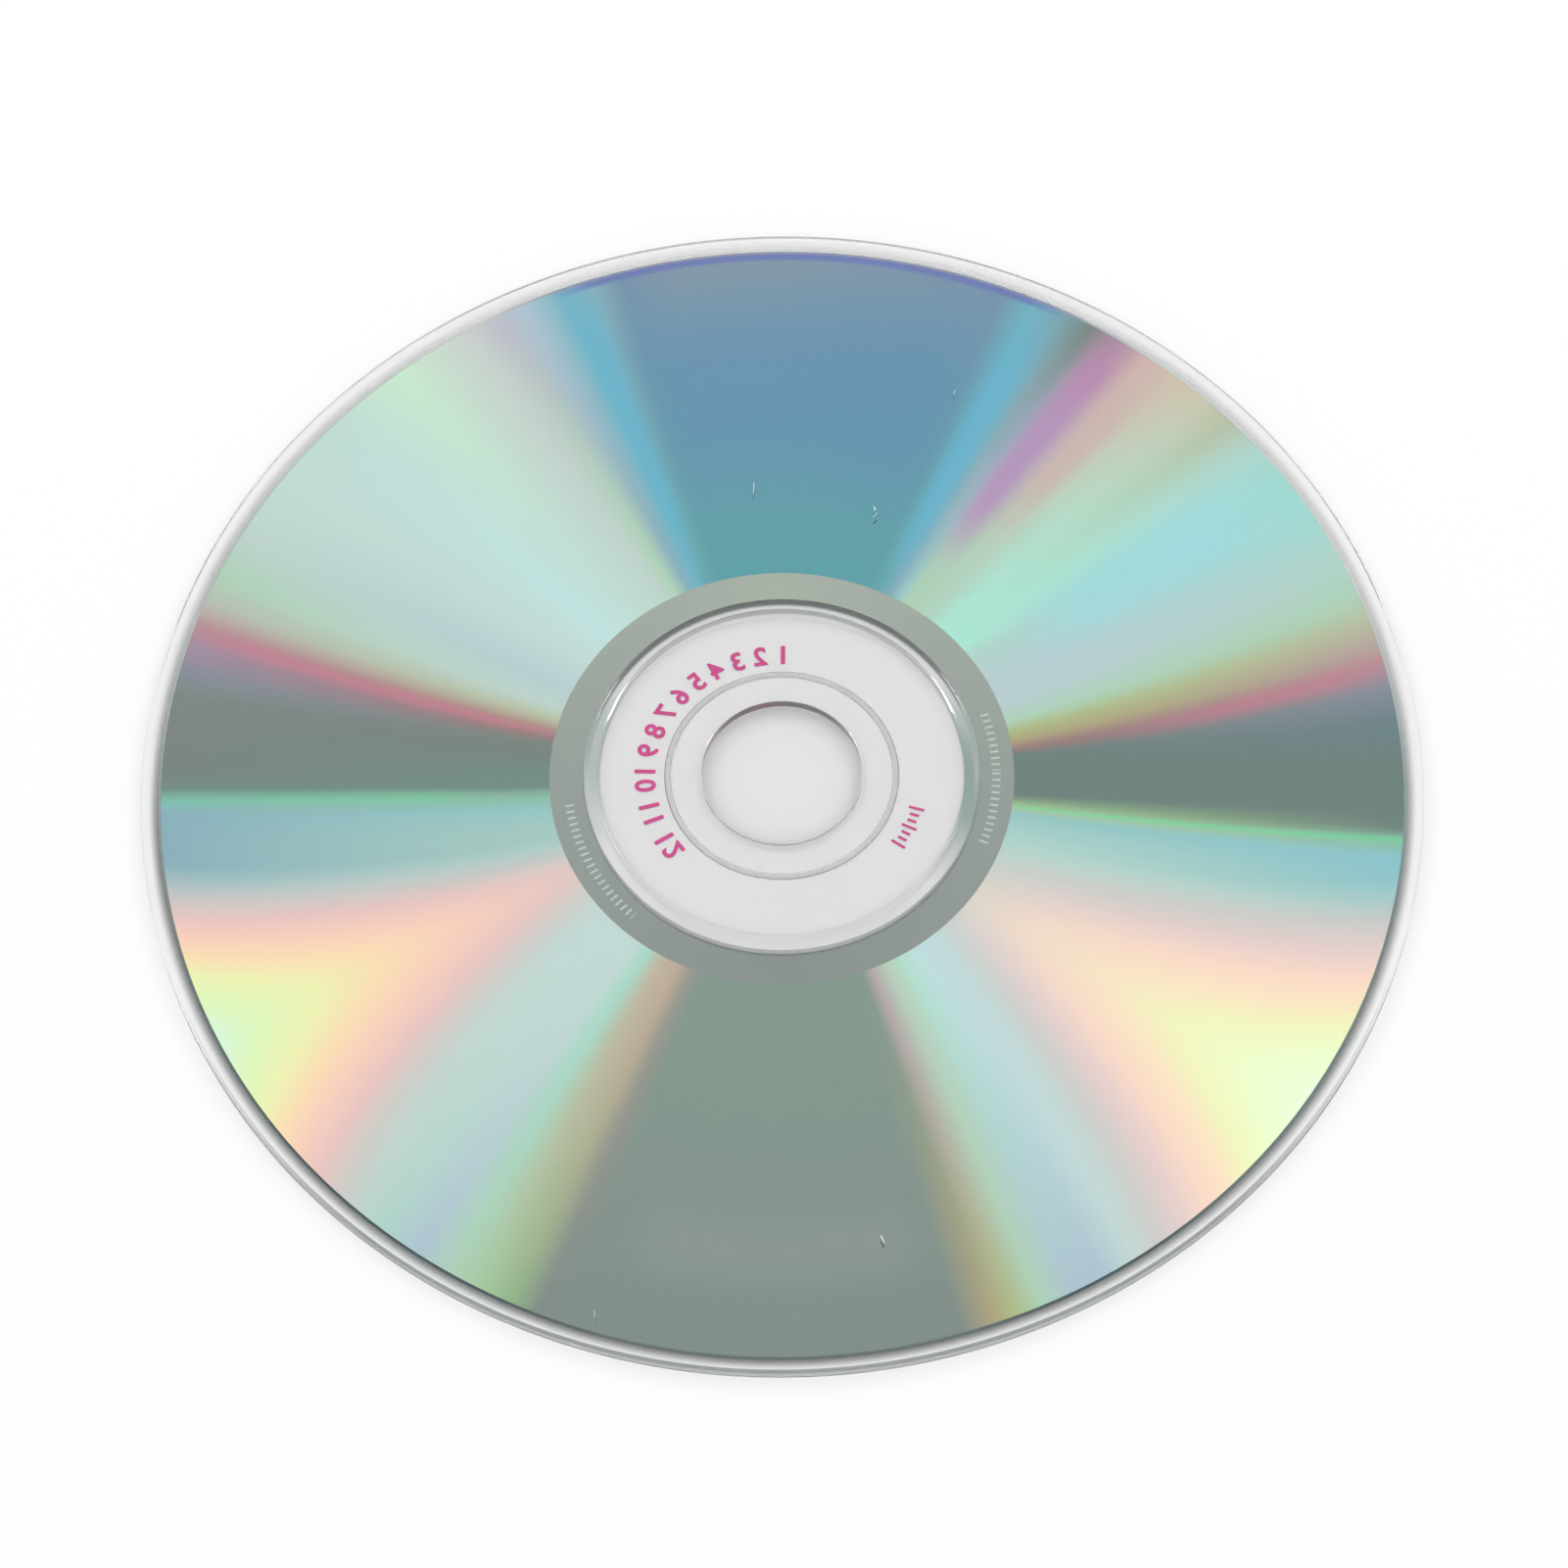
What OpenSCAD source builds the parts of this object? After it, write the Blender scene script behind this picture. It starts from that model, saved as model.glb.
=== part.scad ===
// Recordable compact disc, lying label side down with its read side up.
// A moulded clear disc carries three coats on its label side. Each coat laps over
// the edge of the one before it, down to the moulded face, and seals it in.
// The axis of the disc is Z, and Z = 0 is the face that it lies on. Sizes are in millimetres.

/* [Disc] */
// Outside diameter of the disc
disc_d = 120; // [80:0.5:125]
// Thickness of the disc beside the stacking ring
disc_t = 1.2; // [1.1:0.05:1.5]
// Radius of the rounded edge on the read side of the rim
rim_round = 0.3; // [0.1:0.05:0.45]
// Bevel on the label side of the rim
rim_bevel = 0.15; // [0.05:0.05:0.3]

/* [Centre hole] */
// Diameter of the centre hole
hole_d = 15; // [12:0.1:18]
// Bevel at both mouths of the centre hole
hole_bevel = 0.1; // [0.05:0.05:0.25]

/* [Hub] */
// Middle diameter of the mould's clamp groove, on the label side
groove_d = 21.4; // [20:0.1:24]
// Width of the clamp groove at its mouth
groove_w = 0.65; // [0.4:0.05:1]
// Depth of the clamp groove
groove_depth = 0.2; // [0.1:0.05:0.4]
// Width of each sloping side of the clamp groove
groove_slope_w = 0.12; // [0.05:0.01:0.18]
// Inner diameter of the stacking ring at its foot, on the read side
ring_d = 34.3; // [32:0.1:36]
// Width of the stacking ring at its foot
ring_w = 1.4; // [1:0.1:1.6]
// Height of the stacking ring above the read side
ring_h = 0.25; // [0.1:0.05:0.4]
// Width of each sloping side of the stacking ring
ring_slope_w = 0.2; // [0.1:0.05:0.35]
// Radius of the rounded edges along the top of the stacking ring
ring_round = 0.08; // [0.04:0.01:0.1]

/* [Coats] */
// Inner diameter of the grooved recording coat
track_d = 43.6; // [43:0.1:50]
// Width of plain mirror left inside the recording coat
inner_mirror_w = 3.15; // [1:0.05:3.2]
// Width of plain mirror left outside the recording coat
outer_mirror_w = 0.25; // [0.2:0.05:1]
// Width of clear rim left outside the mirror coat
clear_rim_w = 1.55; // [1:0.05:3]
// Width by which the lacquer laps past the mirror coat at both edges
lacquer_lap = 0.4; // [0.2:0.05:0.6]
// Thickness of the recording coat
record_t = 0.02; // [0.02:0.005:0.04]
// Thickness of the mirror coat
mirror_t = 0.02; // [0.02:0.005:0.04]
// Thickness of the lacquer over the mirror coat
lacquer_t = 0.03; // [0.02:0.005:0.06]
// Height of the lacquer's face above the face that the disc lies on
lacquer_relief = 0.01; // [0.005:0.005:0.03]

/* [Hidden] */
$fn = 180;
// Flat steps along each rounded edge
arc_steps = 6;

disc_r = disc_d / 2;
hole_r = hole_d / 2;

groove_in = (groove_d - groove_w) / 2;
groove_out = (groove_d + groove_w) / 2;

ring_in = ring_d / 2;
ring_out = ring_in + ring_w;
ring_top = disc_t + ring_h;

track_in = track_d / 2;
mirror_in = track_in - inner_mirror_w;
mirror_out = disc_r - clear_rim_w;
track_out = mirror_out - outer_mirror_w;
seat_in = mirror_in - lacquer_lap;
seat_out = mirror_out + lacquer_lap;

// Heights of the coats' faces, from the lacquer up to the moulded seat
lacquer_face = lacquer_relief;
mirror_face = lacquer_face + lacquer_t;
record_face = mirror_face + mirror_t;
seat = record_face + record_t;

clear_tint = [0.86, 0.9, 0.89, 0.45];
record_tint = [0.6, 0.8, 0.78];
mirror_tint = [0.65, 0.69, 0.66];
lacquer_tint = [0.9, 0.92, 0.93, 0.5];

// Points along an arc round a centre, from one angle to another
function arc(centre, radius, from, to) =
    [for (i = [0:arc_steps])
        let (a = from + (to - from) * i / arc_steps)
        centre + radius * [cos(a), sin(a)]];

// Points of a rounded corner at b, between straight runs that come from a and go to c
function rounded_corner(a, b, c, radius) =
    let (
        back = (a - b) / norm(a - b),
        ahead = (c - b) / norm(c - b),
        half = acos(back * ahead) / 2,
        inward = (back + ahead) / norm(back + ahead),
        centre = b + inward * radius / sin(half),
        start = b + back * radius / tan(half) - centre,
        end = b + ahead * radius / tan(half) - centre,
        from = atan2(start[1], start[0]),
        to = atan2(end[1], end[0])
    )
    arc(centre, radius, from, to);

// Label side of the moulding, from the centre hole to the rim
function label_side() = [
    [hole_r, hole_bevel],
    [hole_r + hole_bevel, 0],
    [groove_in, 0],
    [groove_in + groove_slope_w, groove_depth],
    [groove_out - groove_slope_w, groove_depth],
    [groove_out, 0],
    [seat_in, 0],
    [seat_in, seat],
    [seat_out, seat],
    [seat_out, 0],
    [disc_r - rim_bevel, 0],
    [disc_r, rim_bevel],
];

// Ridge of the stacking ring, from its outer foot to its inner foot
function stacking_ring() =
    let (
        outer_foot = [ring_out, disc_t],
        outer_top = [ring_out - ring_slope_w, ring_top],
        inner_top = [ring_in + ring_slope_w, ring_top],
        inner_foot = [ring_in, disc_t]
    )
    concat(
        [outer_foot],
        rounded_corner(outer_foot, outer_top, inner_top, ring_round),
        rounded_corner(outer_top, inner_top, inner_foot, ring_round),
        [inner_foot]
    );

// Read side of the moulding, from the rim back to the centre hole
function read_side() = concat(
    arc([disc_r - rim_round, disc_t - rim_round], rim_round, 0, 90),
    stacking_ring(),
    [[hole_r + hole_bevel, disc_t], [hole_r, disc_t - hole_bevel]]
);

// Clear moulded disc, with the hub, the stacking ring and a shallow seat for the coats
module substrate() {
    color(clear_tint)
        rotate_extrude()
            polygon(concat(label_side(), read_side()));
}

// Recording coat, against the moulded seat over the tracks
module recording_layer() {
    color(record_tint)
        rotate_extrude()
            polygon([
                [track_in, record_face],
                [track_out, record_face],
                [track_out, seat],
                [track_in, seat],
            ]);
}

// Mirror coat, which laps over both edges of the recording coat
module reflective_layer() {
    color(mirror_tint)
        rotate_extrude()
            polygon([
                [mirror_in, mirror_face],
                [mirror_out, mirror_face],
                [mirror_out, seat],
                [track_out, seat],
                [track_out, record_face],
                [track_in, record_face],
                [track_in, seat],
                [mirror_in, seat],
            ]);
}

// Lacquer, which laps over both edges of the mirror coat and seals it in
module lacquer_coat() {
    color(lacquer_tint)
        rotate_extrude()
            polygon([
                [seat_in, lacquer_face],
                [seat_out, lacquer_face],
                [seat_out, seat],
                [mirror_out, seat],
                [mirror_out, mirror_face],
                [mirror_in, mirror_face],
                [mirror_in, seat],
                [seat_in, seat],
            ]);
}

substrate();
recording_layer();
reflective_layer();
lacquer_coat();
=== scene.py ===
"""Looks of a recordable compact disc, lying label side down with its read side up.

The clear moulding and the lacquer are spun as fine meshes in place of the frame's solids.
The recording coat and the mirror coat keep the frame's own meshes. The bands of colour
on the recording coat are painted light: its grooves fan white light out into them, and
that light is painted here as fixed colour by its bearing and radius round the axis of the
disc. The silver and the clear plastic carry painted shade and reflection by bearing too.
Bearings are degrees counted anticlockwise from +X, and the camera stands on the -Y side.
Sizes are in millimetres wherever a name or a comment gives no other unit.
"""

from __future__ import annotations

import logging
import math
from collections.abc import Sequence
from dataclasses import dataclass
from enum import Enum
from typing import Optional, Union

import bmesh
import bpy
from mathutils import Matrix, Vector

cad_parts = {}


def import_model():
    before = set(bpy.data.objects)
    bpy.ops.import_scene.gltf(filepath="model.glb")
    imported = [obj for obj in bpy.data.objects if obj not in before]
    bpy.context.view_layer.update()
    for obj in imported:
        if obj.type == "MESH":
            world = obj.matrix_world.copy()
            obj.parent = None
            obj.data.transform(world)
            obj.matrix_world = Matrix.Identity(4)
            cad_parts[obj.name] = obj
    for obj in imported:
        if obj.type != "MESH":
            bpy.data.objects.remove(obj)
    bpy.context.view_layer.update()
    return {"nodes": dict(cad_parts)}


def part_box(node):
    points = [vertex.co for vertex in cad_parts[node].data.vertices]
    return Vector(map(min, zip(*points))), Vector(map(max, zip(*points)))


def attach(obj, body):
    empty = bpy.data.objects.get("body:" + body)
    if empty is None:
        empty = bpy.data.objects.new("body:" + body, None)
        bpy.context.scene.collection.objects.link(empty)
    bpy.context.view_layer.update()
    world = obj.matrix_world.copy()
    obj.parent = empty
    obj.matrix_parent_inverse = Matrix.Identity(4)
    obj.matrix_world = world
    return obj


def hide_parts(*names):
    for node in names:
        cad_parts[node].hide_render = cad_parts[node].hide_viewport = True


LOG = logging.getLogger("compact_disc")
MM = 0.001
FULL_TURN = 360.0
# Height that parts the label side from the read side
MID_HEIGHT = 0.6
# Share of white light that the clear plastic throws back, and share that it lets through
PLASTIC_SHINE = 0.052
PLASTIC_PASSED = 0.9

Colour = tuple[float, float, float]
Point = tuple[float, float]
Stop = tuple[float, tuple[float, ...]]
Value = Union[bpy.types.NodeSocket, float, Colour]

WHITE: Colour = (1.0, 1.0, 1.0)
BLACK: Colour = (0.0, 0.0, 0.0)


class Tint(Enum):
    """Tints of the disc, as they look through the clear plastic in plain white light: the bands' painted
    diffracted light, and the silver's painted reflection.
    """

    GUNMETAL = "71847F"
    SLATE = "70858A"
    ASH = "7B8580"
    FOG = "808883"
    SEA_SLATE = "758D85"
    PEWTER = "828E8A"
    SEA_GREY = "85998F"
    ROSE = "B79298"
    ROSEWOOD = "98807F"
    DUSK = "8A8F9C"
    MAUVE = "A68EA2"
    CLAY = "AC8F86"
    TAN = "B5A89F"
    OCHRE = "ACA47F"
    OLIVE = "ADBA88"
    SAGE = "B6BEA4"
    SAND = "C8C4AF"
    BISCUIT = "CDBEAD"
    BLUSH = "CBB0AC"
    KHAKI = "BDB6A2"
    UMBER = "BCAA98"
    LEAF = "A4C6A0"
    FERN = "92B38A"
    CELADON = "ADCEB6"
    SPRING = "B0D2C0"
    MINT = "C6E6CC"
    JADE = "AAE1D0"
    APPLE = "8DBBA4"
    AQUA = "A0D7D0"
    PALE_AQUA = "B0D1C8"
    ICE = "B7CBCF"
    FROST = "BFDFDC"
    CLOUD = "C1D6D2"
    MIST = "BCD1C9"
    DEEP_BLUE = "648FB4"
    ORCHID = "BA86AE"
    LAVENDER = "AC9ECC"
    EGGSHELL = "A4C6BF"
    RASPBERRY = "C28093"
    BRIGHT_GREEN = "74D6A0"
    VIOLET = "6F7CB4"
    AZURE = "69B4D0"
    POWDER = "9AD9E0"
    STONE = "B6BCB4"
    PUTTY = "98998F"
    ROSE_GREY = "B3A7AA"
    LICHEN = "B5CCB9"
    SEAFOAM = "B4DBCC"
    MOONSTONE = "BCDCD9"
    OPAL = "C1D7DA"
    JADE_GREY = "A8D6C4"
    SMOKY_CYAN = "7DA5AC"
    NICKEL = "8D9794"
    HAZE = "BFD9D2"
    CYAN = "76B3C0"
    TEAL = "62A0A8"
    LAGOON = "6CA8AC"
    STEEL = "8798A8"
    HARBOUR = "7A94AB"
    PERIWINKLE = "ADC2CE"
    LILAC = "BCBCC8"
    PEARL = "C8CECA"
    SKY = "8BAFBA"
    POOL = "96C4C3"
    CAPRI = "8CC2CC"
    PALE_LIME = "D3F3DE"
    GREEN_LIME = "DCF2BA"
    LIME = "EAFBCE"
    WHITE_GREEN = "EAFDE0"
    LEMON = "EAEEB4"
    PEACH = "F4DDB3"
    APRICOT = "F5CDBB"
    SHELL = "E5C3BF"
    CREAM = "EFF1BE"
    PALE_PEACH = "F7E1C4"
    PALE_APRICOT = "F5D7C6"
    PALE_SHELL = "E2CCCA"
    SMOKE = "CFC8C4"
    # Silver with painted reflection: brightest on the far side, darkest on the near side
    FAR_SILVER = "A7B1A6"
    SIDE_SILVER = "979F9A"
    NEAR_SILVER = "89928F"

    def coat(self) -> Colour:
        """Returns the linear colour of a metal coat that has this tint through the plastic."""
        return coat_colour(self.value)


def grey(level: float) -> Colour:
    """Returns a grey of one linear level."""
    return (level, level, level)


def linear(code: str) -> Colour:
    """Turns a display colour, written as six hexadecimal digits, into linear light."""
    parts = [int(code[at : at + 2], 16) / 255 for at in (0, 2, 4)]
    return tuple(p / 12.92 if p <= 0.04045 else ((p + 0.055) / 1.055) ** 2.4 for p in parts)


def coat_colour(code: str) -> Colour:
    """Returns the linear colour of a metal coat that has a display colour through the plastic."""
    return tuple(max(0.0, (part - PLASTIC_SHINE) / PLASTIC_PASSED) for part in linear(code))


def colour_at(stops: Sequence[Stop], place: float) -> tuple[float, ...]:
    """Finds the colour at a place between two stops.

    Args:
        stops: places and their colours, in rising order.
        place: the place asked for.

    Returns:
        The colour there.
    """
    for (low, first), (high, second) in zip(stops, stops[1:]):
        if low <= place <= high:
            share = (place - low) / (high - low)
            return tuple(a + (b - a) * share for a, b in zip(first, second))
    raise ValueError(f"no colour at {place}")


def on_circle(radius: float, bearing: float, height: float) -> Vector:
    """Returns a point of the disc, in metres, from its radius, bearing and height."""
    turn = math.radians(bearing)
    return Vector((radius * math.cos(turn), radius * math.sin(turn), height)) * MM


@dataclass
class Graph:
    """Adds nodes to one node tree, which may belong to a material, and joins them."""

    tree: bpy.types.NodeTree
    material: Optional[bpy.types.Material] = None

    def node(self, kind: str, **settings: object) -> bpy.types.Node:
        """Adds a node.

        Args:
            kind: Blender's name of the node type.
            settings: properties of the node, by name.

        Returns:
            The new node.
        """
        made = self.tree.nodes.new(kind)
        for name, value in settings.items():
            setattr(made, name, value)
        return made

    def feed(self, socket: bpy.types.NodeSocket, value: Value) -> None:
        """Joins a socket to another one, or gives it a plain value.

        Args:
            socket: the input that is fed.
            value: an output socket, or a number or colour.
        """
        if isinstance(value, bpy.types.NodeSocket):
            self.tree.links.new(value, socket)
        elif socket.type == "RGBA":
            socket.default_value = (*value, 1.0)
        else:
            socket.default_value = value

    def math(self, operation: str, *values: Value) -> bpy.types.NodeSocket:
        """Adds a Math node.

        Args:
            operation: the node's operation, such as ADD.
            values: what its inputs are fed with, in their order.

        Returns:
            The result's socket.
        """
        made = self.node("ShaderNodeMath", operation=operation)
        for socket, value in zip(made.inputs, values):
            self.feed(socket, value)
        return made.outputs[0]

    def between(self, value: Value, low: float, high: float, smooth: bool = False) -> bpy.types.NodeSocket:
        """Maps a value to run from 0 at one limit to 1 at another, and no further.

        Args:
            value: the value that is mapped.
            low: the value that gives 0.
            high: the value that gives 1.
            smooth: whether the run eases in and out.

        Returns:
            The mapped value's socket.
        """
        kind = "SMOOTHSTEP" if smooth else "LINEAR"
        made = self.node("ShaderNodeMapRange", interpolation_type=kind)
        self.feed(made.inputs["Value"], value)
        self.feed(made.inputs["From Min"], low)
        self.feed(made.inputs["From Max"], high)
        return made.outputs["Result"]

    def noise(self, place: Value, scale: float, detail: float) -> bpy.types.NodeSocket:
        """Adds a Noise Texture.

        Args:
            place: where the noise is looked up.
            scale: how fine it is.
            detail: how many finer layers it has.

        Returns:
            The noise's socket.
        """
        made = self.node("ShaderNodeTexNoise")
        self.feed(made.inputs["Vector"], place)
        self.feed(made.inputs["Scale"], scale)
        self.feed(made.inputs["Detail"], detail)
        return made.outputs[0]

    def blend(self, share: Value, first: Value, second: Value) -> bpy.types.NodeSocket:
        """Mixes two colours.

        Args:
            share: the second colour's share, from 0 to 1.
            first: the colour at a share of 0.
            second: the colour at a share of 1.

        Returns:
            The mixed colour's socket.
        """
        made = self.node("ShaderNodeMix", data_type="RGBA")
        colours = [socket for socket in made.inputs if socket.type == "RGBA"]
        self.feed(made.inputs[0], share)
        self.feed(colours[0], first)
        self.feed(colours[1], second)
        return next(socket for socket in made.outputs if socket.type == "RGBA")

    def ramp(self, place: Value, stops: Sequence[Stop], low: float, high: float) -> bpy.types.Node:
        """Adds a colour ramp over a range of values.

        Args:
            place: the value that is looked up.
            stops: each stop's value and its colour, in rising order.
            low: the value at the ramp's start.
            high: the value at the ramp's end.

        Returns:
            The ramp's node.
        """
        made = self.node("ShaderNodeValToRGB")
        elements = made.color_ramp.elements
        while len(elements) < len(stops):
            elements.new(1.0)
        for element, (at, _) in zip(elements, stops):
            element.position = (at - low) / (high - low)
        for element, (_, colour) in zip(elements, stops):
            element.color = (*colour, 1.0) if len(colour) == 3 else colour
        self.feed(made.inputs[0], self.between(place, low, high))
        return made

    def ramp_round(self, bearing: Value, stops: Sequence[Stop], parts: int = 1) -> bpy.types.NodeSocket:
        """Adds a colour that changes by bearing, all the way round the disc.

        A ramp holds 32 stops at most, so a longer row of them is shared out over several.

        Args:
            bearing: the bearing that is looked up, in degrees.
            stops: bearings and their colours, from 0 to 360 degrees.
            parts: how many ramps the stops are shared out over.

        Returns:
            The colour's socket.
        """
        colour: Value = BLACK
        for index in range(parts):
            low, high = index * FULL_TURN / parts, (index + 1) * FULL_TURN / parts
            first, last = (low, colour_at(stops, low)), (high, colour_at(stops, high))
            inside = [stop for stop in stops if low < stop[0] < high]
            part = self.ramp(bearing, [first, *inside, last], low, high).outputs["Color"]
            if index:
                part = self.blend(self.math("GREATER_THAN", bearing, low), colour, part)
            colour = part
        return colour

    def use(self, group: bpy.types.NodeTree, **values: Value) -> bpy.types.Node:
        """Places a node group.

        Args:
            group: the group's tree.
            values: what its inputs are fed with, by name.

        Returns:
            The group's node.
        """
        made = self.node("ShaderNodeGroup", node_tree=group)
        for name, value in values.items():
            self.feed(made.inputs[name], value)
        return made


def new_group(
    name: str, takes: Sequence[str], gives: Sequence[str]
) -> tuple[Graph, bpy.types.Node, bpy.types.Node]:
    """Starts a shader node group whose inputs and outputs are numbers, but for a Place vector.

    Args:
        name: the group's name.
        takes: the names of its inputs.
        gives: the names of its outputs.

    Returns:
        The group's graph, the node that holds its inputs and the node that holds its outputs.
    """
    tree = bpy.data.node_groups.new(name, "ShaderNodeTree")
    for title in takes:
        kind = "NodeSocketVector" if title == "Place" else "NodeSocketFloat"
        tree.interface.new_socket(title, in_out="INPUT", socket_type=kind)
    for title in gives:
        tree.interface.new_socket(title, in_out="OUTPUT", socket_type="NodeSocketFloat")
    graph = Graph(tree)
    return graph, graph.node("NodeGroupInput"), graph.node("NodeGroupOutput")


@dataclass
class SharedPatterns:
    """Node groups that several finishes use, or that one finish uses many times over."""

    # How a lobe's bands turn over its middle line: 1 bends them sharply, and 2 rounds them
    lobe_turn: float = 1.6
    tick_end_fade: float = 0.15
    tick_row_fade: float = 0.2
    tick_edge: float = 0.1
    smear_scale: float = 60.0
    smear_detail: float = 3.0
    smear_limits: Point = (0.45, 0.75)
    dust_scale: float = 2600.0
    dust_detail: float = 1.0
    dust_limits: Point = (0.78, 0.84)

    def __post_init__(self) -> None:
        """Builds the groups."""
        self.disc_place = self.build_disc_place()
        self.ring_mask = self.build_ring_mask()
        self.spread = self.build_spread()
        self.ticks = self.build_ticks()
        self.handling = self.build_handling()

    def within(
        self, graph: Graph, value: Value, low: Value, high: Value, fade: float
    ) -> bpy.types.NodeSocket:
        """Returns the socket of a mask that is 1 from a low value to a high one."""
        return graph.use(self.ring_mask, Value=value, From=low, To=high, Fade=fade).outputs["Mask"]

    def build_disc_place(self) -> bpy.types.NodeTree:
        """Builds the group that gives a place's radius and height, in millimetres, and its bearing.

        Returns:
            The group's tree.
        """
        graph, takes, gives = new_group("disc_place", ["Place"], ["Radius", "Bearing", "Height"])
        parts = graph.node("ShaderNodeSeparateXYZ")
        graph.feed(parts.inputs[0], takes.outputs["Place"])
        x, y = parts.outputs["X"], parts.outputs["Y"]
        square = graph.math("MULTIPLY_ADD", x, x, graph.math("MULTIPLY", y, y))
        graph.feed(gives.inputs["Radius"], graph.math("MULTIPLY", graph.math("SQRT", square), 1 / MM))
        turn = graph.math("DEGREES", graph.math("ARCTAN2", y, x))
        graph.feed(gives.inputs["Bearing"], graph.math("FLOORED_MODULO", turn, FULL_TURN))
        graph.feed(gives.inputs["Height"], graph.math("MULTIPLY", parts.outputs["Z"], 1 / MM))
        return graph.tree

    def build_ring_mask(self) -> bpy.types.NodeTree:
        """Builds the group that is 1 between two values and fades to 0 past them.

        Returns:
            The group's tree.
        """
        graph, takes, gives = new_group("ring_mask", ["Value", "From", "To", "Fade"], ["Mask"])
        value, fade = takes.outputs["Value"], takes.outputs["Fade"]
        above = graph.math("DIVIDE", graph.math("SUBTRACT", value, takes.outputs["From"]), fade)
        below = graph.math("DIVIDE", graph.math("SUBTRACT", takes.outputs["To"], value), fade)
        rising, falling = (graph.between(steps, -0.5, 0.5, smooth=True) for steps in (above, below))
        graph.feed(gives.inputs["Mask"], graph.math("MULTIPLY", rising, falling))
        return graph.tree

    def build_spread(self) -> bpy.types.NodeTree:
        """Builds the group for a lobe of colour, whose bands run together towards the hub.

        A band lies as many degrees from the lobe's centre at the rim as its spread. Further in
        it lies closer to the centre, and there it meets its twin from the other side.

        Returns:
            The group's tree.
        """
        names = ["Bearing", "Inwardness", "Centre", "Left", "Right", "Bend"]
        graph, takes, gives = new_group("spread", names, ["Spread"])
        aside = graph.math("SUBTRACT", takes.outputs["Bearing"], takes.outputs["Centre"])
        on_right = graph.math("GREATER_THAN", aside, 0.0)
        extra = graph.math("SUBTRACT", takes.outputs["Right"], takes.outputs["Left"])
        scale = graph.math("MULTIPLY_ADD", extra, on_right, takes.outputs["Left"])
        scaled = graph.math("ABSOLUTE", graph.math("MULTIPLY", aside, scale))
        drawn = graph.math("MULTIPLY", takes.outputs["Bend"], takes.outputs["Inwardness"])
        from_side = graph.math("POWER", scaled, self.lobe_turn)
        total = graph.math("ADD", from_side, graph.math("POWER", drawn, self.lobe_turn / 2))
        graph.feed(gives.inputs["Spread"], graph.math("POWER", total, 1 / self.lobe_turn))
        return graph.tree

    def build_ticks(self) -> bpy.types.NodeTree:
        """Builds the group for a row of evenly spaced ticks along an arc.

        Returns:
            The group's tree.
        """
        names = ["Radius", "Bearing", "Inner", "Outer", "From", "To", "HalfPitch", "HalfWidth"]
        graph, takes, gives = new_group("ticks", names, ["Mask"])
        given = takes.outputs
        ring = self.within(graph, given["Radius"], given["Inner"], given["Outer"], self.tick_end_fade)
        arc = self.within(graph, given["Bearing"], given["From"], given["To"], self.tick_row_fade)
        aside = graph.math("PINGPONG", given["Bearing"], given["HalfPitch"])
        stroke = graph.math("SUBTRACT", given["HalfWidth"], aside)
        sharp = graph.between(stroke, -self.tick_edge, self.tick_edge, smooth=True)
        inside = graph.math("MULTIPLY", ring, arc)
        graph.feed(gives.inputs["Mask"], graph.math("MULTIPLY", inside, sharp))
        return graph.tree

    def build_handling(self) -> bpy.types.NodeTree:
        """Builds the group for a face that has been handled a little: smears and fine dust.

        Returns:
            The group's tree.
        """
        names = ["Place", "Roughness", "Smear", "Dust"]
        graph, takes, gives = new_group("handling", names, ["Roughness", "Dust"])
        smear = graph.noise(takes.outputs["Place"], self.smear_scale, self.smear_detail)
        patch = graph.between(smear, *self.smear_limits, smooth=True)
        rough = graph.math("MULTIPLY_ADD", patch, takes.outputs["Smear"], takes.outputs["Roughness"])
        graph.feed(gives.inputs["Roughness"], rough)
        dust = graph.noise(takes.outputs["Place"], self.dust_scale, self.dust_detail)
        specks = graph.between(dust, *self.dust_limits, smooth=True)
        graph.feed(gives.inputs["Dust"], graph.math("MULTIPLY", specks, takes.outputs["Dust"]))
        return graph.tree


@dataclass(frozen=True)
class Finish:
    """A material of one part of the disc, on a Principled shader."""

    name: str

    def start(self) -> tuple[Graph, bpy.types.Node, bpy.types.NodeSocket]:
        """Starts the material.

        Returns:
            The material's graph, its shader node and its Object coordinates.
        """
        material = bpy.data.materials.new(self.name)
        material.use_nodes = True
        graph = Graph(material.node_tree, material)
        shader = next(node for node in material.node_tree.nodes if node.type == "BSDF_PRINCIPLED")
        place = graph.node("ShaderNodeTexCoord").outputs["Object"]
        return graph, shader, place


class Side(Enum):
    """Side of the disc that a zone is on."""

    LABEL = "label side"
    READ = "read side"
    BOTH = "both sides"


@dataclass(frozen=True)
class Zone:
    """A ring of the clear plastic with a frost of its own and a tint of painted shade and reflection.

    The shares say how strong the tint is by bearing: bearing, share from 0 to 1.
    """

    inner: float
    outer: float
    fade: float
    tint: Colour = WHITE
    shares: tuple[Point, ...] = ((0, 1), (360, 1))
    side: Side = Side.LABEL
    frost: float = 0.0


# Colour of the painted shade at the edges of the silver and of the rim
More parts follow.
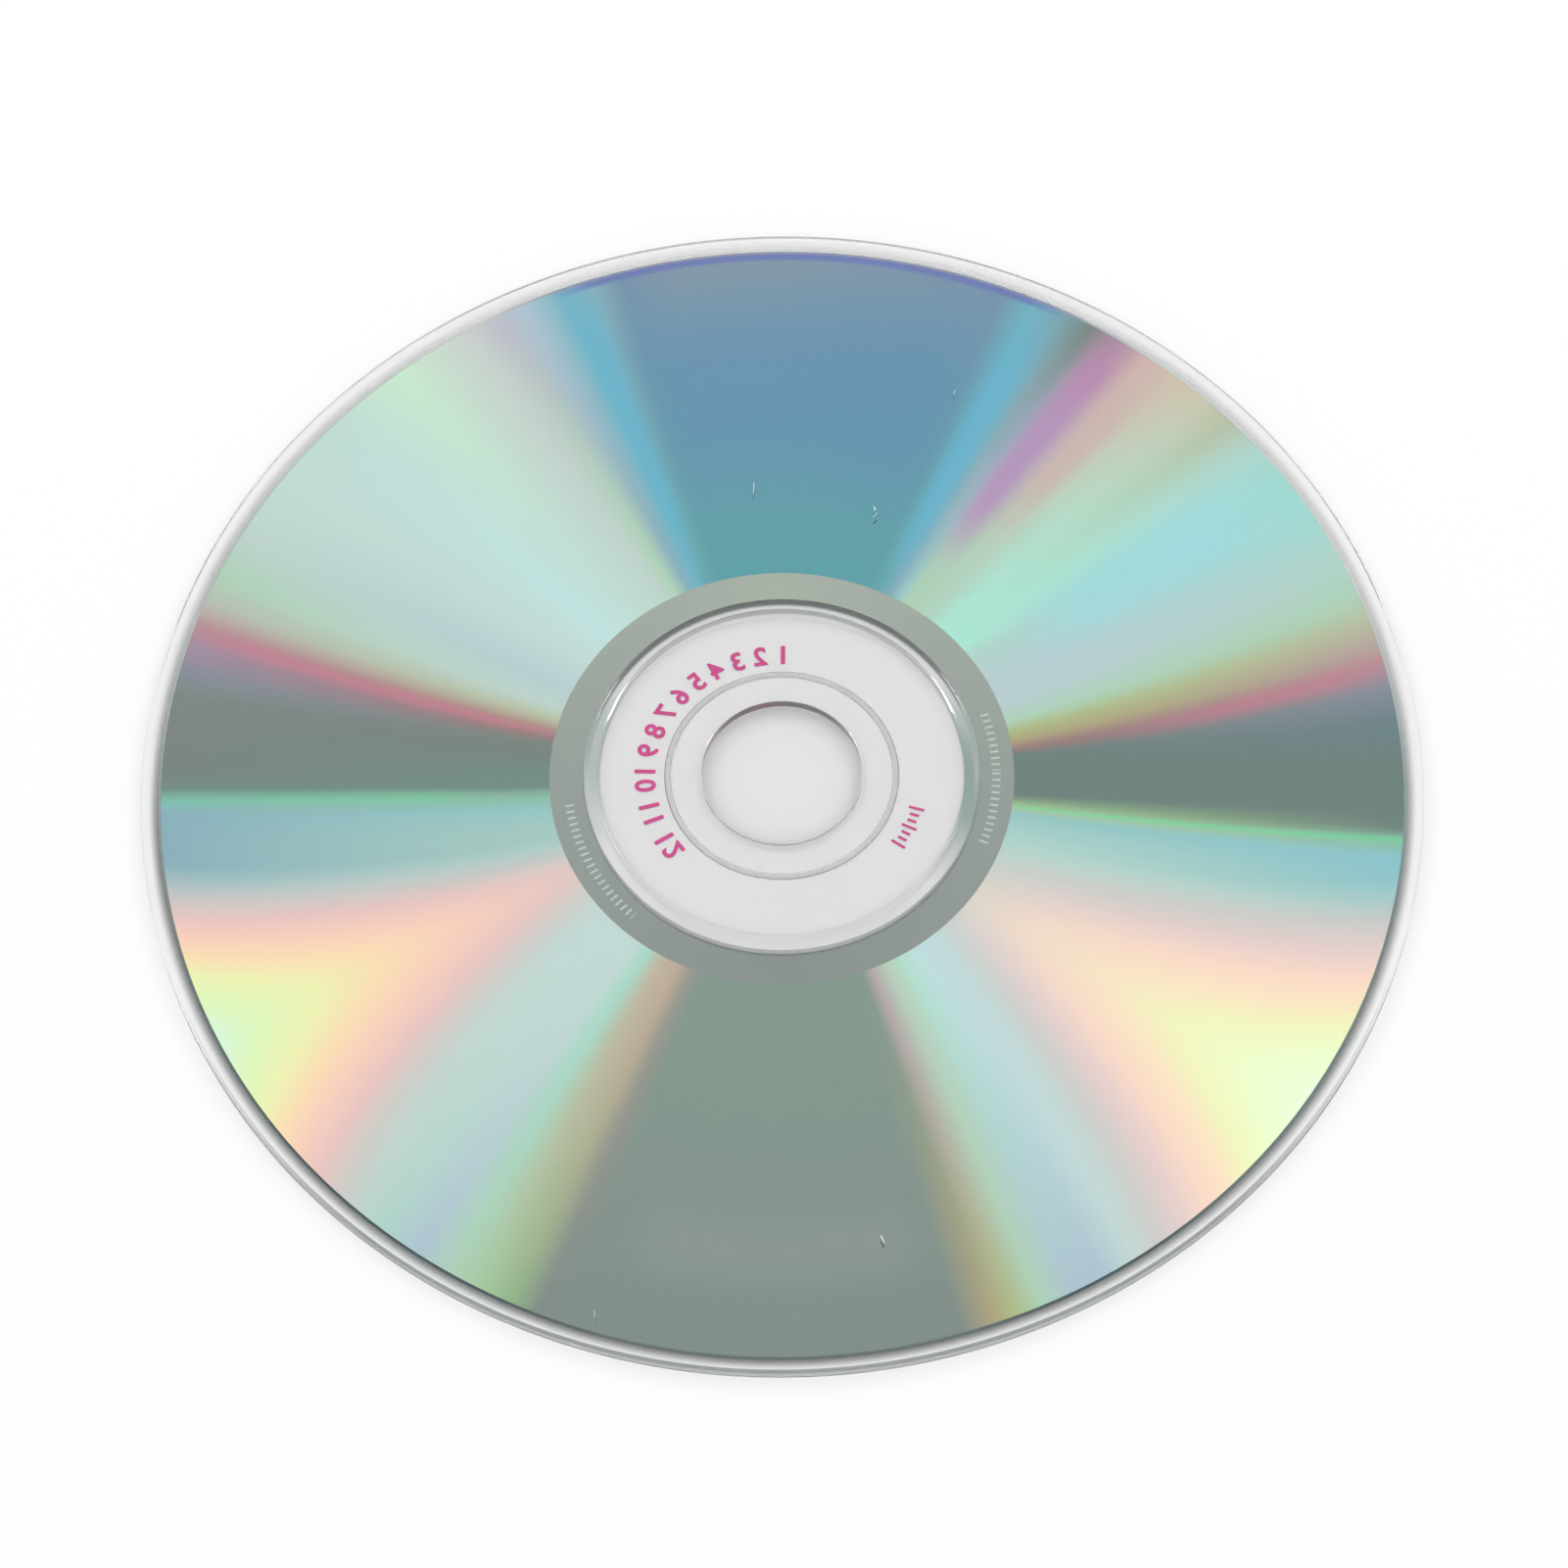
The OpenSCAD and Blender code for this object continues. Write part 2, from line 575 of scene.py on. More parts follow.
SHADED_EDGE: Colour = (0.15, 0.18, 0.17)
FROSTED_ZONES = (
    # Wall of the rim, then both slopes of the clamp groove
    Zone(59.97, 61.0, 0.01, side=Side.BOTH, frost=1.0),
    Zone(10.36, 10.51, 0.02, frost=0.7),
    Zone(10.89, 11.04, 0.02, frost=0.7),
)
# The bore's frost, with a painted shade that is darkest on the far side
BORE_FROST_AND_PAINTED_SHADE = Zone(
    7.0, 7.55, 0.05, (0.3, 0.3, 0.3),
    ((0, 0.1), (15, 0.5), (50, 1), (130, 1), (165, 0.5), (180, 0.1), (360, 0.1)),
    side=Side.BOTH, frost=0.5,
)
RIM_PAINTED_SHADE = (
    # Painted shade at the silver's outer edge, and along the rounded edge of the read side, strong or weak
    # by bearing
    Zone(57.5, 58.9, 1.0, SHADED_EDGE, (
        (0, 0.6), (20, 0.3), (60, 0.15), (120, 0.15), (165, 0.5), (185, 0.9), (270, 1), (340, 0.85),
        (360, 0.6),
    )),
    Zone(59.66, 59.98, 0.12, SHADED_EDGE, (
        (0, 0), (45, 0), (60, 0.3), (120, 0.3), (135, 0), (200, 0), (230, 1), (310, 1), (340, 0),
        (360, 0),
    ), side=Side.READ),
)
STACKING_RING_PAINTED_SHADE = (
    # Painted shade and reflection at the silver's inner edge, under the ring's top, under its outer slope
    # and at its inner foot
    Zone(18.2, 19.5, 0.4, (0.1, 0.13, 0.12), (
        (0, 0.7), (40, 1), (140, 1), (180, 0.7), (225, 0.55), (315, 0.55), (360, 0.7),
    )),
    Zone(17.1, 18.1, 0.25, (0.33, 0.47, 0.42), (
        (0, 1), (10, 0.9), (22, 0.5), (35, 0.1), (145, 0.1), (158, 0.6), (180, 0.6), (192, 0.3),
        (205, 0.05), (320, 0.05), (335, 0.6), (345, 1), (360, 1),
    )),
    Zone(18.1, 18.65, 0.1, (0.34, 0.45, 0.41), (
        (0, 1), (20, 0.6), (35, 0), (145, 0), (160, 0.6), (180, 0.95), (200, 0.6), (225, 0.1),
        (250, 0), (290, 0), (315, 0.2), (340, 0.8), (360, 1),
    )),
    Zone(16.95, 17.15, 0.15, (0.3, 0.34, 0.33), (
        (0, 0.2), (40, 0.8), (140, 0.8), (180, 0.2), (360, 0.2),
    ), side=Side.READ),
)
MOULDING_FROST_AND_PAINTED_SHADE = (*FROSTED_ZONES, BORE_FROST_AND_PAINTED_SHADE, *RIM_PAINTED_SHADE, *STACKING_RING_PAINTED_SHADE)


@dataclass(frozen=True)
class ClearPlastic(Finish):
    """Clear plastic, such as the moulded disc and the lacquer."""

    refraction: float = 1.585
    smear: float = 0.0
    # Rings of frost, and rings of painted shade and reflection
    zones: tuple[Zone, ...] = ()

    def build(self, patterns: SharedPatterns) -> bpy.types.Material:
        """Builds the material.

        Args:
            patterns: the shared node groups.

        Returns:
            The material.
        """
        graph, shader, place = self.start()
        where = graph.use(patterns.disc_place, Place=place)
        on_label_side = graph.math("LESS_THAN", where.outputs["Height"], MID_HEIGHT)
        faces = {Side.LABEL: on_label_side, Side.READ: graph.math("SUBTRACT", 1.0, on_label_side)}
        colour: Value = WHITE
        rough: Value = 0.0
        # Each zone lays on its painted shade and reflection, strong or weak by bearing, and its frost
        for zone in self.zones:
            inside = patterns.within(graph, where.outputs["Radius"], zone.inner, zone.outer, zone.fade)
            if zone.side in faces:
                inside = graph.math("MULTIPLY", inside, faces[zone.side])
            shades = [(bearing, grey(share)) for bearing, share in zone.shares]
            share = graph.ramp_round(where.outputs["Bearing"], shades)
            colour = graph.blend(graph.math("MULTIPLY", inside, share), colour, zone.tint)
            if zone.frost:
                rough = graph.math("MULTIPLY_ADD", inside, zone.frost, rough)
        handled = graph.use(patterns.handling, Place=place, Roughness=rough, Smear=self.smear, Dust=0.0)
        graph.feed(shader.inputs["Base Color"], colour)
        graph.feed(shader.inputs["Roughness"], handled.outputs["Roughness"])
        graph.feed(shader.inputs["Transmission Weight"], 1.0)
        graph.feed(shader.inputs["IOR"], self.refraction)
        return graph.material


@dataclass(frozen=True)
class Band:
    """One band of painted diffracted light that runs from the rim to the hub."""

    bearing: float
    rim: Tint
    hub: Tint


@dataclass(frozen=True)
class Lobe:
    """A lobe of bright painted light, a lamp's diffracted colours, whose bands meet along its middle.

    Left and right scale the degrees on each side of the middle, the bend says how soon the
    bands meet, and the hub fade says how much of the lobe is gone at the hub. The stops give
    each tint's spread in degrees from the middle at the rim, and how much it covers what
    lies under it.
    """

    centre: float
    left: float
    right: float
    bend: float
    hub_fade: float
    stops: tuple[tuple[float, Tint, float], ...]


@dataclass(frozen=True)
class Streak:
    """A streak of painted diffracted light over the bands, between two bearings and two radii.

    The first fade is across the streak, in degrees, and the other at its ends, in millimetres.
    """

    start: float
    end: float
    inner: float
    outer: float
    tint: Tint
    cover: float
    fade: float = 2.0
    fade_out: float = 8.0


@dataclass(frozen=True)
class GrooveColours(Finish):
    """Metal under fine spiral grooves, which fan white light out into bands of colour. The bands, lobes and
    streaks are that light, painted on as fixed colour by bearing and radius.
    """

    inner: float = 21.8
    outer: float = 58.2
    roughness: float = 0.1
    # A higher rim power gives the hub tints more room, and a higher lobe power keeps the lobes further in
    rim_power: float = 1.5
    lobe_power: float = 4.0
    band_parts: int = 4
    slide_parts: int = 2
    # Most degrees that a slide may be
    slide_reach: float = 10.0
    # Painted diffracted light: each band's bearing and its tints at the rim and at the hub
    bands: tuple[Band, ...] = (
        Band(0, Tint.GUNMETAL, Tint.GUNMETAL),
        Band(4.5, Tint.SLATE, Tint.GUNMETAL),
        Band(8, Tint.DUSK, Tint.GUNMETAL),
        Band(10.8, Tint.ROSE, Tint.ROSEWOOD),
        Band(13, Tint.TAN, Tint.OCHRE),
        Band(15.5, Tint.SAGE, Tint.OLIVE),
        Band(18, Tint.CELADON, Tint.CELADON),
        Band(22.5, Tint.PALE_AQUA, Tint.ICE),
        Band(27.5, Tint.AQUA, Tint.ICE),
        Band(33, Tint.AQUA, Tint.PALE_AQUA),
        Band(37, Tint.PALE_AQUA, Tint.JADE),
        Band(40.5, Tint.SAGE, Tint.JADE),
        Band(44, Tint.SAND, Tint.JADE),
        Band(48, Tint.BISCUIT, Tint.SPRING),
        Band(51.5, Tint.BLUSH, Tint.CELADON),
        Band(54.5, Tint.MAUVE, Tint.CELADON),
        Band(57.5, Tint.ASH, Tint.POOL),
        Band(60.5, Tint.SMOKY_CYAN, Tint.SKY),
        Band(63.5, Tint.CYAN, Tint.LAGOON),
        Band(67, Tint.HARBOUR, Tint.TEAL),
        Band(88, Tint.STEEL, Tint.TEAL),
        Band(100, Tint.STEEL, Tint.TEAL),
        Band(105, Tint.HARBOUR, Tint.TEAL),
        Band(108, Tint.SKY, Tint.LAGOON),
        Band(111, Tint.CYAN, Tint.CYAN),
        Band(115, Tint.PERIWINKLE, Tint.SKY),
        Band(118, Tint.LILAC, Tint.CELADON),
        Band(121.5, Tint.PEARL, Tint.MIST),
        Band(129, Tint.MINT, Tint.HAZE),
        Band(137, Tint.HAZE, Tint.FROST),
        Band(145, Tint.HAZE, Tint.CLOUD),
        Band(152, Tint.MIST, Tint.ICE),
        Band(157, Tint.CELADON, Tint.MIST),
        Band(160, Tint.STONE, Tint.SAGE),
        Band(162.5, Tint.ROSE, Tint.CLAY),
        Band(164.6, Tint.MAUVE, Tint.ROSEWOOD),
        Band(167.5, Tint.DUSK, Tint.FOG),
        Band(170.5, Tint.FOG, Tint.ASH),
        Band(178, Tint.ASH, Tint.SEA_SLATE),
        Band(180.3, Tint.SEA_SLATE, Tint.SEA_SLATE),
        Band(181.8, Tint.SKY, Tint.APPLE),
        Band(183.5, Tint.SKY, Tint.POOL),
        Band(186, Tint.SKY, Tint.EGGSHELL),
        Band(190.5, Tint.SKY, Tint.EGGSHELL),
        Band(194, Tint.ICE, Tint.POOL),
        Band(199, Tint.MIST, Tint.MIST),
        Band(216, Tint.MIST, Tint.CLOUD),
        Band(226, Tint.MIST, Tint.CLOUD),
        Band(231, Tint.PALE_AQUA, Tint.CLOUD),
        Band(235, Tint.PERIWINKLE, Tint.CLOUD),
        Band(238.5, Tint.CELADON, Tint.JADE_GREY),
        Band(241.5, Tint.LEAF, Tint.KHAKI),
        Band(244.5, Tint.FERN, Tint.UMBER),
        Band(247, Tint.PEWTER, Tint.PUTTY),
        Band(249.5, Tint.PEWTER, Tint.SEA_GREY),
        Band(285, Tint.PEWTER, Tint.SEA_GREY),
        Band(288, Tint.OCHRE, Tint.SEA_GREY),
        Band(290, Tint.OLIVE, Tint.ROSE_GREY),
        Band(292.5, Tint.CELADON, Tint.LICHEN),
        Band(295.5, Tint.PERIWINKLE, Tint.SEAFOAM),
        Band(298.5, Tint.PERIWINKLE, Tint.MOONSTONE),
        Band(302, Tint.CLOUD, Tint.OPAL),
        Band(306, Tint.CLOUD, Tint.CLOUD),
        Band(330, Tint.MIST, Tint.MIST),
        Band(341, Tint.CLOUD, Tint.MIST),
        Band(345, Tint.POOL, Tint.PALE_AQUA),
        Band(350, Tint.CAPRI, Tint.POOL),
        Band(351.7, Tint.APPLE, Tint.LEAF),
        Band(353.2, Tint.GUNMETAL, Tint.FERN),
        Band(354.8, Tint.GUNMETAL, Tint.GUNMETAL),
        Band(357, Tint.GUNMETAL, Tint.GUNMETAL),
        Band(360, Tint.GUNMETAL, Tint.GUNMETAL),
    )
    # How far the bands slide round between the rim and the hub: bearing, degrees
    slides: tuple[Point, ...] = (
        (0, 0), (2, 2), (5.5, 5), (14, 4.5), (24, 3), (32, 0), (50, -1.5), (56, -2.5), (61, 0),
        (110, 0), (114, 2), (119, 2), (140, 0), (158, -3), (168, -4), (171, -2), (177, 0), (183, -2),
        (190, -6), (200, -7), (206.5, 0), (220, 7), (230, 4), (238, 3), (244, 1), (248, 0), (286, 0),
        (291, -1), (296, -3), (304, -4), (315, -9), (323.5, 0), (332, 9), (340, 5), (347, 2),
        (352, 2), (357, 0), (360, 0),
    )
    lobes: tuple[Lobe, ...] = (
        Lobe(206.5, 1.29, 1.0, 300, 0.1, (
            (0, Tint.PALE_LIME, 1), (6, Tint.GREEN_LIME, 1), (9, Tint.LEMON, 1), (11.5, Tint.PEACH, 1),
            (14, Tint.APRICOT, 1), (17, Tint.SHELL, 0.95), (20, Tint.SMOKE, 0.7), (24, Tint.CLOUD, 0),
        )),
        Lobe(323.5, 1.02, 0.98, 215, 0.5, (
            (0, Tint.WHITE_GREEN, 1), (5.5, Tint.LIME, 1), (9, Tint.CREAM, 1), (11.5, Tint.PALE_PEACH, 1),
            (14, Tint.PALE_APRICOT, 1), (17, Tint.PALE_SHELL, 0.95), (20, Tint.SMOKE, 0.7),
            (24, Tint.CLOUD, 0),
        )),
    )
    streaks: tuple[Streak, ...] = (
        Streak(66, 106, 33, 52, Tint.DEEP_BLUE, 0.6, 12, 14),
        Streak(52, 56, 32, 57, Tint.ORCHID, 0.8, 3, 10),
        Streak(48.0, 52.0, 36, 55, Tint.BLUSH, 0.7, 3, 12),
        Streak(51.5, 58.5, 30, 50, Tint.LAVENDER, 0.4, 4, 14),
        Streak(9.3, 11.3, 36, 57, Tint.RASPBERRY, 0.55, 2, 14),
        Streak(162.6, 164.2, 23, 56, Tint.RASPBERRY, 0.7, 1.6, 12),
        Streak(351.6, 352.3, 22, 60, Tint.BRIGHT_GREEN, 0.6, 0.8, 4),
        Streak(60.5, 64.5, 26, 54, Tint.AZURE, 0.7, 3, 12),
        Streak(108, 111.5, 26, 56, Tint.AZURE, 0.6, 3, 12),
        Streak(28, 36, 30, 53, Tint.POWDER, 0.6, 5, 12),
        Streak(254, 283, 45, 51, Tint.NICKEL, 0.8, 8, 5),
        Streak(180.6, 182.2, 30, 60, Tint.BRIGHT_GREEN, 0.35, 1.6, 8),
        Streak(62, 110, 57.5, 60, Tint.VIOLET, 0.9, 6, 0.6),
    )

    def build(self, patterns: SharedPatterns) -> bpy.types.Material:
        """Builds the material.

        Args:
            patterns: the shared node groups.

        Returns:
            The material.
        """
        graph, shader, place = self.start()
        where = graph.use(patterns.disc_place, Place=place)
        bearing, radius = where.outputs["Bearing"], where.outputs["Radius"]
        inwardness = graph.between(radius, self.outer, self.inner)
        outwardness = graph.between(radius, self.inner, self.outer)
        slid = self.slide_bands(graph, bearing, inwardness)
        rim_tints = [(band.bearing, band.rim.coat()) for band in self.bands]
        hub_tints = [(band.bearing, band.hub.coat()) for band in self.bands]
        rim = graph.ramp_round(slid, rim_tints, self.band_parts)
        hub = graph.ramp_round(slid, hub_tints, self.band_parts)
        colour = graph.blend(graph.math("POWER", outwardness, self.rim_power), hub, rim)
        for lobe in self.lobes:
            shown = graph.use(
                patterns.spread,
                Bearing=bearing,
                Inwardness=inwardness,
                Centre=lobe.centre,
                Left=lobe.left,
                Right=lobe.right,
                Bend=lobe.bend,
            )
            colour = self.lay_lobe(graph, lobe, colour, shown.outputs["Spread"], inwardness)
        for streak in self.streaks:
            along = patterns.within(graph, slid, streak.start, streak.end, streak.fade)
            across = patterns.within(graph, radius, streak.inner, streak.outer, streak.fade_out)
            cover = graph.math("MULTIPLY", graph.math("MULTIPLY", along, across), streak.cover)
            colour = graph.blend(cover, colour, streak.tint.coat())
        graph.feed(shader.inputs["Base Color"], colour)
        graph.feed(shader.inputs["Metallic"], 1.0)
        graph.feed(shader.inputs["Roughness"], self.roughness)
        return graph.material

    def slide_bands(
        self, graph: Graph, bearing: bpy.types.NodeSocket, inwardness: bpy.types.NodeSocket
    ) -> bpy.types.NodeSocket:
        """Slides the bands round, further the nearer they are to the hub.

        Args:
            graph: the material's graph.
            bearing: the bearing on the disc, in degrees.
            inwardness: 0 at the rim and 1 at the hub.

        Returns:
            The socket of the bearing at which the bands are looked up.
        """
        reach = self.slide_reach
        shades = [(at, grey(0.5 + slide / (2 * reach))) for at, slide in self.slides]
        shade = graph.ramp_round(bearing, shades, self.slide_parts)
        slide = graph.math("MULTIPLY_ADD", shade, 2 * reach, -reach)
        slid = graph.math("MULTIPLY_ADD", slide, inwardness, bearing)
        return graph.math("FLOORED_MODULO", slid, FULL_TURN)

    def lay_lobe(
        self,
        graph: Graph,
        lobe: Lobe,
        under: bpy.types.NodeSocket,
        spread: bpy.types.NodeSocket,
        inwardness: bpy.types.NodeSocket,
    ) -> bpy.types.NodeSocket:
        """Lays a lobe's bright bands over a colour.

        Args:
            graph: the material's graph.
            lobe: the lobe that is laid on.
            under: the colour that it covers.
            spread: degrees from the lobe's middle, as at the rim.
            inwardness: 0 at the rim and 1 at the hub.

        Returns:
            The colour's socket.
        """
        widest = lobe.stops[-1][0]
        stops = [(at, (*tint.coat(), cover)) for at, tint, cover in lobe.stops]
        ramp = graph.ramp(spread, stops, 0, widest)
        near_hub = graph.math("POWER", inwardness, self.lobe_power)
        kept = graph.math("MULTIPLY_ADD", near_hub, -lobe.hub_fade, 1.0)
        cover = graph.math("MULTIPLY", ramp.outputs["Alpha"], kept)
        return graph.blend(cover, under, ramp.outputs["Color"])


@dataclass(frozen=True)
class MirrorCoat(Finish):
    """Silver with painted reflection that is brightest on the far side, faint ticks pressed into its inner
    band, and painted shade and reflection along its darker outer edge.
    """

    roughness: float = 0.12
    # Painted reflection on the silver, brighter on the far side: bearing, tint
    silver: tuple[tuple[float, Tint], ...] = (
        (0, Tint.SIDE_SILVER), (90, Tint.FAR_SILVER), (180, Tint.SIDE_SILVER), (270, Tint.NEAR_SILVER),
        (360, Tint.SIDE_SILVER),
    )
    tick_inner: float = 19.7
    tick_outer: float = 20.5
    tick_half_pitch: float = 0.95
    tick_half_width: float = 0.32
    tick_cover: float = 0.4
    tick_tint: Colour = (0.8, 0.83, 0.8)
    tick_arcs: tuple[Point, ...] = ((187, 226), (337, 365), (-5, 18))
    edge_start: float = 58.15
    edge_fade: float = 0.1
    # Painted shade and reflection along the outer edge: bearing, display colour
    edge_tints: tuple[tuple[float, str], ...] = (
        (0, "96A3A3"), (20, "C8CFCC"), (50, "C8CFCC"), (62, "8F93A8"), (110, "8F93A8"), (120, "C8CFCC"),
        (165, "B0B8B4"), (185, "8C9694"), (200, "6E7A77"), (225, "4F5D5F"), (242, "4F5D5F"),
        (255, "6A7573"), (285, "6A7573"), (295, "4F5D60"), (303, "4F5D60"), (315, "6E7A77"),
        (345, "7A8A88"), (360, "96A3A3"),
    )

    def build(self, patterns: SharedPatterns) -> bpy.types.Material:
        """Builds the material.

        Args:
            patterns: the shared node groups.

        Returns:
            The material.
        """
        graph, shader, place = self.start()
        where = graph.use(patterns.disc_place, Place=place)
        bearing, radius = where.outputs["Bearing"], where.outputs["Radius"]
        colour = graph.ramp_round(bearing, [(at, tint.coat()) for at, tint in self.silver])
        for start, end in self.tick_arcs:
            marks = graph.use(
                patterns.ticks,
                Radius=radius,
                Bearing=bearing,
                Inner=self.tick_inner,
                Outer=self.tick_outer,
                From=start,
                To=end,
                HalfPitch=self.tick_half_pitch,
                HalfWidth=self.tick_half_width,
            )
            cover = graph.math("MULTIPLY", marks.outputs["Mask"], self.tick_cover)
            colour = graph.blend(cover, colour, self.tick_tint)
        # Painted shade and reflection along the outer edge, by bearing
        on_edge = graph.between(radius, self.edge_start, self.edge_start + self.edge_fade)
        edge_painted_light = graph.ramp_round(bearing, [(at, coat_colour(code)) for at, code in self.edge_tints])
        graph.feed(shader.inputs["Base Color"], graph.blend(on_edge, colour, edge_painted_light))
        graph.feed(shader.inputs["Metallic"], 1.0)
        graph.feed(shader.inputs["Roughness"], self.roughness)
        return graph.material


@dataclass(frozen=True)
class MattSpeckled(Finish):
    """A matt stuff with fine specks in it, such as ink or dust."""

    colour: Colour
    specks: Colour
    speck_cover: float
    roughness: float
    smear: float = 0.1

    def build(self, patterns: SharedPatterns) -> bpy.types.Material:
        """Builds the material.

        Args:
            patterns: the shared node groups.

        Returns:
            The material.
        """
        graph, shader, place = self.start()
        handled = graph.use(
            patterns.handling, Place=place, Roughness=self.roughness, Smear=self.smear, Dust=self.speck_cover
        )
        colour = graph.blend(handled.outputs["Dust"], self.colour, self.specks)
        graph.feed(shader.inputs["Base Color"], colour)
        graph.feed(shader.inputs["Roughness"], handled.outputs["Roughness"])
        return graph.material


@dataclass(frozen=True)
class StudioFloor(Finish):
    """Pale floor, with a painted shade: a little greyer in the patch that the disc lies on."""

    pale: float = 0.955
    # Painted shade: grey of the floor under the disc, and of the floor in its centre hole
    patch: float = 0.718
    hole_patch: float = 0.75
    hole_radius: float = 7.4
    patch_radius: float = 59.0
    patch_fade: float = 1.0
    # Share of plain white in what the camera, mirrors and glass see of the floor past the patch
    backdrop: float = 0.65

    def build(self, patterns: SharedPatterns) -> bpy.types.Material:
        """Builds the material.

        Args:
            patterns: the shared node groups.

        Returns:
            The material.
        """
        graph, shader, place = self.start()
        radius = graph.use(patterns.disc_place, Place=place).outputs["Radius"]
        # Painted shade under the disc, a little lighter in its centre hole
        past_hole = graph.math("GREATER_THAN", radius, self.hole_radius)
        under = graph.blend(past_hole, grey(self.hole_patch), grey(self.patch))
        outside = graph.between(radius, self.patch_radius, self.patch_radius + self.patch_fade)
        path = graph.node("ShaderNodeLightPath")
        seen = graph.math("ADD", path.outputs["Is Camera Ray"], path.outputs["Is Glossy Ray"])
        seen = graph.math("MINIMUM", graph.math("ADD", seen, path.outputs["Is Transmission Ray"]), 1.0)
        white = graph.math("MULTIPLY", graph.math("MULTIPLY", seen, outside), self.backdrop)
        lit = graph.blend(outside, under, grey(self.pale))
        graph.feed(shader.inputs["Base Color"], graph.blend(white, lit, BLACK))
        graph.feed(shader.inputs["Emission Color"], graph.blend(white, BLACK, WHITE))
        graph.feed(shader.inputs["Emission Strength"], 1.0)
        graph.feed(shader.inputs["Roughness"], 1.0)
        graph.feed(shader.inputs["Specular IOR Level"], 0.0)
        return graph.material


def finish_mesh(name: str, mesh: bmesh.types.BMesh, material: bpy.types.Material) -> bpy.types.Object:
    """Makes an object of a bmesh, at the origin.

    Args:
        name: the piece's name.
        mesh: the bmesh, in metres, which is freed.
        material: the piece's material.

    Returns:
        The new object.
    """
    data = bpy.data.meshes.new(name)
    mesh.to_mesh(data)
    mesh.free()
    data.materials.append(material)
    piece = bpy.data.objects.new(name, data)
    bpy.context.scene.collection.objects.link(piece)
    return piece


@dataclass(frozen=True)
class Rounding:
    """A rounded corner of a ring's section, from some way back on both sides, in flat steps."""

    corner: Point
    start: float
    flat_steps: int


@dataclass
class SpunRing:
    """A closed ring, spun round the disc's axis from the corners of its section."""

    name: str
    section: list[Point]
    roundings: tuple[Rounding, ...] = ()
    steps: int = 360
    # Merging distance, in metres
    weld: float = 1e-8
    # Greatest turn between faces that are shaded as one, in degrees, and their greatest area
    gentle_turn: float = 12.0
    slim_face: float = 0.12
    # Greatest differences in height and in radius along an edge that runs round the axis
    level_within: float = 0.001
    round_within: float = 0.01

    def build(self, material: bpy.types.Material) -> bpy.types.Object:
        """Builds the piece.

        Args:
            material: the piece's material.

        Returns:
            The new object.
        """
        mesh = bmesh.new()
        corners = [mesh.verts.new(Vector((radius, 0, height)) * MM) for radius, height in self.section]
        for at, corner in enumerate(corners):
            mesh.edges.new((corners[at - 1], corner))
        for rounding in self.roundings:
            self.round_corner(mesh, corners[self.section.index(rounding.corner)], rounding)
        bmesh.ops.spin(
            mesh,
            geom=[*mesh.verts, *mesh.edges],
            cent=(0, 0, 0),
            axis=(0, 0, 1),
            angle=math.tau,
            steps=self.steps,
            use_merge=True,
        )
        bmesh.ops.remove_doubles(mesh, verts=mesh.verts, dist=self.weld)
        bmesh.ops.recalc_face_normals(mesh, faces=mesh.faces)
        self.mark_smooth(mesh)
        return finish_mesh(self.name, mesh, material)

    def round_corner(
        self, mesh: bmesh.types.BMesh, corner: bmesh.types.BMVert, rounding: Rounding
    ) -> None:
        """Rounds one corner of the section, before it is spun.

        Args:
            mesh: the section.
            corner: the corner's point in it.
            rounding: how it is rounded.
        """
        bmesh.ops.bevel(
            mesh,
            geom=[corner],
            offset=rounding.start * MM,
            offset_type="OFFSET",
            segments=rounding.flat_steps,
            profile=0.5,
            affect="VERTICES",
            material=-1,
            clamp_overlap=True,
        )

    def mark_smooth(self, mesh: bmesh.types.BMesh) -> None:
        """Shades the ring smooth round its axis, and sharp across its section but for the roundings.

        Args:
            mesh: the spun ring.
        """
        gentle = math.radians(self.gentle_turn)
        for face in mesh.faces:
            face.smooth = True
        for edge in mesh.edges:
            first, second = edge.verts
            level = abs(first.co.z - second.co.z) < self.level_within * MM
            same_radius = abs(first.co.xy.length - second.co.xy.length) < self.round_within * MM
            if level and same_radius:
                slim = all(face.calc_area() < self.slim_face * MM * MM for face in edge.link_faces)
                edge.smooth = slim and edge.calc_face_angle(math.pi) < gentle


@dataclass
class DiscSizes:
    """Radii, heights and roundings of the disc. Its thickness comes from the frame."""

    thick: float
    outer: float = 60.0
    hole: float = 7.5
    hole_bevel: float = 0.1
    groove_in: float = 10.375
    groove_out: float = 11.025
    groove_depth: float = 0.2
    groove_slope: float = 0.12
    ring_in: float = 17.15
    ring_out: float = 18.55
    ring_high: float = 0.25
    ring_slope: float = 0.2
    ring_outer_round: float = 0.28
    ring_inner_round: float = 0.06
    seat_in: float = 18.25
    seat_out: float = 58.85
    mirror_in: float = 18.65
    mirror_out: float = 58.45
    rim_round: float = 0.3
    rim_bevel: float = 0.15
    # The seat and the lacquer stand this far off the coats, so that no two faces share a place
    bite: float = 0.005

    @classmethod
    def from_frame(cls) -> DiscSizes:
        """Returns the sizes, with the thickness worked out from the moulding's box."""
        _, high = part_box("substrate")
        return cls(thick=high[2] / MM - cls.ring_high)

    @property
    def ring_top(self) -> float:
        """Returns the height of the stacking ring's top."""
        return self.thick + self.ring_high


